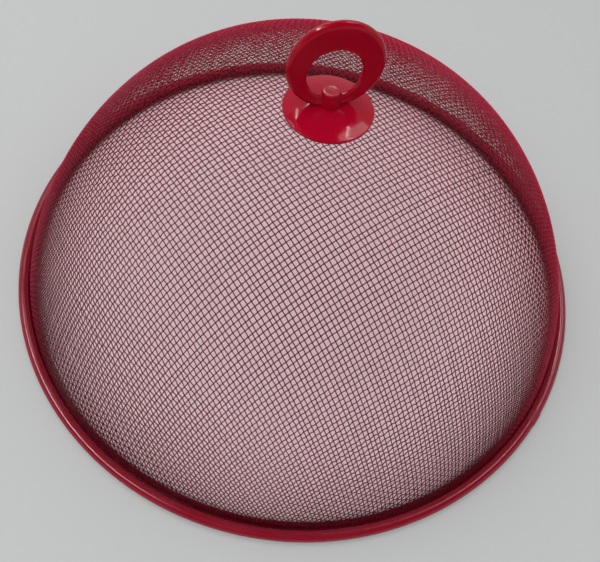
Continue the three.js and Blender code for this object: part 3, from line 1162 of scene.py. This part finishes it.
    def flange(self) -> bpy.types.Object:
        """Makes the flange: a shallow dome with a thin lip, hollow below round its column.

        Returns:
            The flange, in millimetres.
        """
        seat, lip = self.flange_seat, self.flange_lip
        middle = (self.flange_height + lip - (self.flange_radius ** 2 - seat ** 2)
                  / (self.flange_height - lip)) / 2
        ball = math.hypot(seat, self.flange_height - middle)
        bend = self.edge_bend

        def dome(radius: float, start: float, end: float) -> np.ndarray:
            """Returns points on an arc about the ball's middle, from one reach to another."""
            angles = [math.degrees(math.acos(reach / radius)) for reach in (start, end)]
            return arc((0, middle), radius, angles[0], angles[1], 24)

        top = dome(ball, seat, self.flange_radius - bend)
        corner = arc((self.flange_radius - bend, top[-1][1] - bend), bend, self.edge_slope, 0, 6)
        low = arc((self.flange_radius - bend, bend), bend, 0, -90, 6)
        hollow = self.flange_radius - 2 * self.flange_wall
        section = np.vstack([[self.bore_radius, 0], [self.bore_radius, self.flange_height], top, corner,
                             low, [hollow, 0], dome(ball - self.flange_wall, hollow, seat), [seat, 0.0]])
        made = lathe("handle_flange_moulded", section[::-1], 200)
        made.data.transform(Matrix.Translation((0, 0, self.flange_foot)))
        return made


@dataclass
class Fastening:
    """The backing washer under the cloth and the screw that holds the handle."""

    screw_radius: float = 1.7
    root_radius: float = 1.3
    thread_pitch: float = 0.9
    plain_shank: float = 0.3
    tip_share: float = 0.02
    head_radius: float = 3.6
    head_height: float = 2.3
    head_round: float = 0.9
    recess_reach: float = 2.0
    recess_width: float = 0.8
    recess_depth: float = 1.5
    recess_overrun: float = 1.0
    recess_flare: tuple[float, float] = (1.15, 0.45)
    washer_radius: float = 14.0
    washer_sheet: float = 1.0
    washer_bore: float = 2.0
    washer_round: float = 0.35
    washer_chamfer: float = 0.15

    def build(self, zinc: bpy.types.Material) -> list[bpy.types.Object]:
        """Builds the washer and the screw where the CAD has them.

        Args:
            zinc: Their finish.

        Returns:
            The two pieces.
        """
        washer, screw = self.washer(), self.screw()
        for made, node in ((washer, "backing_washer"), (screw, "handle_screw")):
            made.data.transform(Matrix.Translation((0, 0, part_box(node)[0].z / MM)))
        return [place(washer, zinc, Slot.ZINC, "backing_washer"),
                place(screw, zinc, Slot.ZINC, "handle_screw", crease=35)]

    def washer(self) -> bpy.types.Object:
        """Makes the washer, its edges rolled soft by the press.

        Returns:
            The washer, in millimetres, its underside at zero.
        """
        edge, sheet, chamfer = self.washer_round, self.washer_sheet, self.washer_chamfer
        low = arc((self.washer_radius - edge, edge), edge, -90, 0, 5)
        high = arc((self.washer_radius - edge, sheet - edge), edge, 0, 90, 5)
        bore = np.array([[self.washer_bore + chamfer, sheet], [self.washer_bore, sheet - chamfer],
                         [self.washer_bore, chamfer], [self.washer_bore + chamfer, 0]])
        return lathe("backing_washer_pressed", np.vstack([low, high, bore]), 96)

    def screw(self) -> bpy.types.Object:
        """Makes the screw, head down, with its thread and cross recess.

        Returns:
            The screw, in millimetres, the top of its head at zero.
        """
        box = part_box("handle_screw")
        length = (box[1].z - box[0].z) / MM
        head = self.head_height
        steps, per_turn = 32, 12
        soft = arc((self.head_radius - self.head_round, self.head_round), self.head_round, -90, 0, 6)
        rows = np.vstack([[AXIS, 0.0], soft, [self.head_radius, head], [self.screw_radius, head]])
        azimuths = np.arange(steps) * 360 / steps
        body = revolve(rows, azimuths).reshape(steps, len(rows), 3)
        heights = np.linspace(head + self.plain_shank, length,
                              int((length - head) / self.thread_pitch * per_turn))
        phase = heights[None, :] / self.thread_pitch - azimuths[:, None] / 360
        crest = np.abs(2 * (phase % 1) - 1)
        taper = np.clip((length - heights) / self.screw_radius, self.tip_share, 1)[None, :]
        radius = (self.root_radius + (self.screw_radius - self.root_radius) * crest) * taper
        turn = np.radians(azimuths)[:, None]
        thread = np.stack([radius * np.cos(turn), radius * np.sin(turn),
                           np.broadcast_to(heights, radius.shape)], axis=-1)
        points = np.concatenate([body, thread], axis=1)
        per_row = points.shape[1]
        faces = grid_faces(steps, per_row, True, False)[:, ::-1]
        first = np.arange(steps)[None, :] * per_row
        caps = [first[:, ::-1], first + per_row - 1]
        made = make_object("handle_screw_threaded", points.reshape(-1, 3), [faces, *caps])
        reach, half = self.recess_reach, self.recess_width / 2
        mouth, bottom = self.recess_flare
        for wide, thin in ((reach, half), (half, reach)):
            ends = ((-self.recess_overrun, mouth), (self.recess_depth, bottom))
            corners = [(x * s, y * s, z) for z, s in ends
                       for x, y in ((-wide, -thin), (wide, -thin), (wide, thin), (-wide, thin))]
            tool = make_object("recess", np.array(corners),
                               [np.array([[0, 3, 2, 1], [4, 5, 6, 7], [0, 1, 5, 4], [1, 2, 6, 5],
                                          [2, 3, 7, 6], [3, 0, 4, 7]])])
            cut_away(made, tool)
        return made


# The studio


@dataclass(frozen=True)
class Lamp:
    """A soft rectangular lamp that faces the cover.

    A place is an azimuth and an elevation in degrees, for the middle of the lamp's lower or upper
    edge. Radiance is how bright the lamp looks, where the sky's white is 1.
    """

    name: str
    low: tuple[float, float]
    high: tuple[float, float]
    width: float
    radiance: float
    reach: Reach


LAMPS = (
    # Two large ones light the matt surfaces.
    Lamp("back_fill", (-130, 45), (-130, 75), 1100, 1.6, Reach.FILL),
    Lamp("front_fill", (-40, 45), (-40, 75), 1100, 1.5, Reach.FILL),
    # Tubes draw most of the pale lines on the bead, and light the boss's top.
    Lamp("left_tube", (-133, 52), (-83, 60), 100, 50.0, Reach.GLINT),
    Lamp("left_tube_end", (-82, 62), (-76, 72), 100, 32.0, Reach.GLINT),
    Lamp("right_tube", (156, 50.5), (169, 48.5), 50, 30.0, Reach.GLINT),
    Lamp("back_tube", (171, 46), (-177, 56), 120, 40.0, Reach.GLINT),
    # These draw the flange's two narrow glints and its pale patch, and the bead's line at the
    # lower right.
    Lamp("back_left_strip", (-169.5, 50), (-158, 61), 16, 36.0, Reach.GLINT),
    Lamp("back_right_softbox", (118, 47), (108, 72), 300, 5.0, Reach.GLINT),
    Lamp("back_right_strip", (141, 50), (117, 67), 16, 50.0, Reach.GLINT),
)


@dataclass
class Studio:
    """A pale paper floor, an even sky, lamps, and the camera at the photograph's angle.

    The sky and two large lamps light the matt surfaces. The other lamps only draw highlights.
    """

    camera_place: tuple[float, float, float] = (-56.3, -159.9, 268.4)
    camera_aim: tuple[float, float, float] = (-4.76, -18.83, 0.0)
    camera_roll: float = 10.98
    lens: float = 33.6
    sensor_width: float = 36.0
    floor_half: float = 6000.0
    floor_drop: float = 0.05
    sky: str = "#dfe0e0"
    sky_strength: float = 1.0
    lamp_distance: float = 1400.0
    card_distance: float = 2200.0
    card_azimuth: float = -19.4
    card_low_back: float = 52.0
    card_low_front: float = 8.0
    card_swing: float = 1.5
    card_top: float = 89.9

    def build(self, paper: bpy.types.Material, velvet: bpy.types.Material) -> None:
        """Builds the floor, the light and the camera.

        Args:
            paper: The floor's finish.
            velvet: The black card's finish.
        """
        self.floor(paper)
        self.world()
        for lamp in LAMPS:
            self.hang(lamp)
        self.black_card(velvet)
        self.camera()
        bpy.context.scene.view_settings.view_transform = "Standard"

    def floor(self, paper: bpy.types.Material) -> None:
        """Lays the paper just under the rim's foot.

        Args:
            paper: Its finish.
        """
        half = self.floor_half
        corners = [(-half, -half), (half, -half), (half, half), (-half, half)]
        points = np.array([(x, y, -self.floor_drop) for x, y in corners]) * MM
        made = make_object("floor_paper", points, [np.array([[0, 1, 2, 3]])])
        made.data.materials.append(paper)

    def world(self) -> None:
        """Fills the room with even light."""
        world = bpy.data.worlds.new("even_sky")
        bpy.context.scene.world = world
        world.use_nodes = True
        tree = world.node_tree
        tree.nodes.clear()
        glow = add_node(tree, "ShaderNodeBackground",
                        {"Color": linear(self.sky), "Strength": self.sky_strength})
        add_node(tree, "ShaderNodeOutputWorld", links={"Surface": glow.outputs[0]})

    def hang(self, lamp: Lamp) -> None:
        """Hangs a lamp in its place.

        Args:
            lamp: The lamp.
        """
        foot, head = (self.direction(*end) * self.lamp_distance for end in (lamp.low, lamp.high))
        light = bpy.data.lights.new(lamp.name, "AREA")
        light.shape = "RECTANGLE"
        light.size, light.size_y = lamp.width * MM, (head - foot).length * MM
        light.energy = lamp.radiance * math.pi * light.size * light.size_y
        made = bpy.data.objects.new(lamp.name, light)
        facing = (foot + head).normalized()
        upward = (head - foot).normalized()
        across = upward.cross(facing)
        made.matrix_world = (Matrix.Translation((foot + head) / 2 * MM)
                             @ Matrix((across, upward, facing)).transposed().to_4x4())
        made.visible_diffuse = lamp.reach is Reach.FILL
        made.visible_glossy = lamp.reach is Reach.GLINT
        bpy.context.scene.collection.objects.link(made)

    def direction(self, azimuth: float, elevation: float) -> Vector:
        """Returns the unit vector to a place in the room.

        Args:
            azimuth: Degrees round Z, where 0 is towards -Y and 90 towards +X.
            elevation: Degrees above the floor.

        Returns:
            The vector.
        """
        turn, rise = math.radians(azimuth), math.radians(elevation)
        return Vector((math.sin(turn) * math.cos(rise), -math.cos(turn) * math.cos(rise),
                       math.sin(rise)))

    def black_card(self, velvet: bpy.types.Material) -> None:
        """Hangs a black card overhead and behind the camera, which only glossy surfaces see.

        It stands for a room that is dark above and behind the camera, and keeps the reds deep.

        Args:
            velvet: Its finish.
        """
        steps, rings = 48, 12
        azimuths = np.arange(steps) * 360 / steps
        lowest = self.card_low_back + (self.card_low_front - self.card_low_back) * (
            0.5 + 0.5 * np.cos(np.radians(azimuths - self.card_azimuth))) ** self.card_swing
        points = [list(self.direction(a, low + (self.card_top - low) * k / rings) * self.card_distance)
                  for a, low in zip(azimuths, lowest) for k in range(rings + 1)]
        faces = grid_faces(steps, rings + 1, True, False)
        made = make_object("black_card", np.array(points) * MM, [faces])
        made.data.materials.append(velvet)
        made.visible_camera = made.visible_diffuse = made.visible_shadow = False

    def camera(self) -> None:
        """Sets the camera where the photograph was taken from, with the photograph's roll."""
        stand, aim = (Vector(p) * MM for p in (self.camera_place, self.camera_aim))
        forward = (aim - stand).normalized()
        right = forward.cross(Vector((0, 0, 1))).normalized()
        up = right.cross(forward)
        roll = math.radians(self.camera_roll)
        across = right * math.cos(roll) + up * math.sin(roll)
        upward = up * math.cos(roll) - right * math.sin(roll)
        data = bpy.data.cameras.new("photo_camera")
        data.lens, data.sensor_width = self.lens, self.sensor_width
        data.clip_start, data.clip_end = 0.01, 50
        camera = bpy.data.objects.new("photo_camera", data)
        turn = Matrix((across, upward, -forward)).transposed()
        camera.matrix_world = Matrix.Translation(stand) @ turn.to_4x4()
        bpy.context.scene.collection.objects.link(camera)
        bpy.context.scene.camera = camera


def main() -> None:
    """Builds the cover and the studio in order."""
    logging.basicConfig(level=logging.INFO, format="%(name)s: %(message)s")
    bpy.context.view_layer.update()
    enamel, wire_enamel, drawn = StovedEnamel().build(), DippedWire().build(), DrawnWire().build()
    ring_plastic = MouldedPlastic("moulded_plastic_ring", parting_width=0.2).build()
    flange_plastic = MouldedPlastic("moulded_plastic_flange", main_colour="#a80526",
                                    flow_colour="#9a0420", gloss_level=0.18, least_roughness=0.06,
                                    most_roughness=0.12, grain_height=0.004).build()
    touch_up = StovedEnamel("brushed_enamel_on_joiner", thick_coat="#780a22", thin_coat="#8a0c2a",
                            least_roughness=0.42, most_roughness=0.55).build()
    zinc = ZincPlate().build()
    RolledRim().build(enamel, touch_up, drawn)
    WovenDome().build(wire_enamel)
    RingHandle().build(ring_plastic, flange_plastic)
    Fastening().build(zinc)
    Studio().build(StudioPaper().build(), BlackVelvet().build())


if __name__ == "__main__":
    main()
